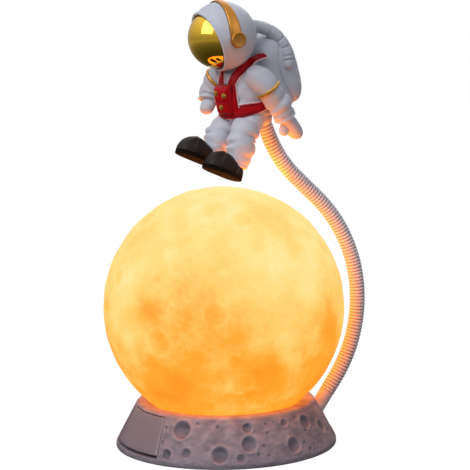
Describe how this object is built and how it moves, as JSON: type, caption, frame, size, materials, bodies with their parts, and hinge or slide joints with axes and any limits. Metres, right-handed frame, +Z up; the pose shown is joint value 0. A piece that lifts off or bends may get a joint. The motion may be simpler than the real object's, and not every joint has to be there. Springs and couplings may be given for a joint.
{
  "type": "astronaut night light",
  "caption": "Night light: a glowing moon globe on a cratered base, with an astronaut figure held above it on a ribbed gooseneck that bends. A panel in the base is pressed to switch it.",
  "frame": {"origin": "middle of the anti-slip pad's underside, on the table, under the globe's centre", "axes": "+Z up; -Y to the front, where the switch panel is; +Y to the gooseneck; +X to the figure's left"},
  "size_m": [0.15, 0.171, 0.2759],
  "materials": {
    "base_grey": "matte moulded plastic with craters",
    "panel_grey": "smooth satin plastic",
    "cover_grey": "matte moulded plastic",
    "steel": "plain",
    "pad_rubber": "matte",
    "moon_glow": "translucent printed shell, lit from inside",
    "inner_white": "matte",
    "board_metal": "white solder mask",
    "chip_yellow": "phosphor",
    "cell_foil": "foil pouch",
    "board_green": "solder mask",
    "lead_red": "insulation",
    "switch_black": "matte",
    "ferrule_white": "satin white",
    "hose_white": "satin ribbed plastic",
    "suit_white": "matte white paint over sculpted folds",
    "visor_gold": "mirror gold plating",
    "trim_bronze": "metallic bronze paint",
    "trim_gold": "metallic gold paint",
    "harness_red": "gloss red paint",
    "boot_black": "satin black-brown paint",
    "sole_black": "matte"
  },
  "bodies": {
    "base": {"base_shell": "base_grey", "bottom_cover": "cover_grey", "cover_screws": "steel", "antislip_pad": "pad_rubber", "moon_globe": "moon_glow", "globe_ring": "inner_white", "led_board": "board_metal", "led_chips": "chip_yellow", "battery_cell": "cell_foil", "control_board": "board_green", "usb_socket": "steel", "battery_lead": "lead_red", "light_lead": "lead_red", "switch_lead": "lead_red", "panel_hinge_pin": "steel", "switch_board": "board_green", "tact_switch": "switch_black", "lower_ferrule": "ferrule_white", "ferrule_washer": "steel", "ferrule_nut": "steel", "gooseneck_lower": "hose_white"},
    "panel": {"front_panel": "panel_grey"},
    "plunger": {"switch_plunger": "switch_black"},
    "neck": {"gooseneck_middle": "hose_white"},
    "figure": {"gooseneck_upper": "hose_white", "upper_ferrule": "ferrule_white", "torso": "suit_white", "helmet": "suit_white", "visor": "visor_gold", "headband": "trim_bronze", "ear_discs": "trim_bronze", "backpack": "suit_white", "harness": "harness_red", "chest_box": "harness_red", "chest_knobs": "trim_gold", "left_arm": "suit_white", "left_arm_ring": "trim_gold", "left_glove": "suit_white", "left_air_hose": "suit_white", "left_leg": "suit_white", "left_boot": "boot_black", "left_sole": "sole_black", "right_arm": "suit_white", "right_arm_ring": "trim_gold", "right_glove": "suit_white", "right_air_hose": "suit_white", "right_leg": "suit_white", "right_boot": "boot_black", "right_sole": "sole_black"}
  },
  "joints": [
    {"name": "panel_press", "type": "hinge", "parent": "base", "child": "panel", "pos_m": [0, -0.0487, 0.0225], "axis": [1, 0, 0], "range_deg": [0, 2.5], "stiffness_Nm_per_rad": 0.45, "springref_deg": -1.15},
    {"name": "plunger_press", "type": "slide", "parent": "base", "child": "plunger", "axis": [0, 1, 0], "range_m": [0, 0.0006]},
    {"name": "neck_sway", "type": "hinge", "parent": "base", "child": "neck", "pos_m": [0, 0.091, 0.0866], "axis": [0, 1, 0], "range_deg": [-20, 20], "deforming": ["gooseneck_lower", "gooseneck_middle"]},
    {"name": "neck_nod", "type": "hinge", "parent": "neck", "child": "figure", "pos_m": [0, 0.06252, 0.15273], "axis": [-1, 0, 0], "range_deg": [-3.5, 25], "deforming": ["gooseneck_upper"]}
  ],
  "couplings": [
    {"joint": "plunger_press", "follows": "panel_press", "m_per_rad": 0.0125}
  ]
}
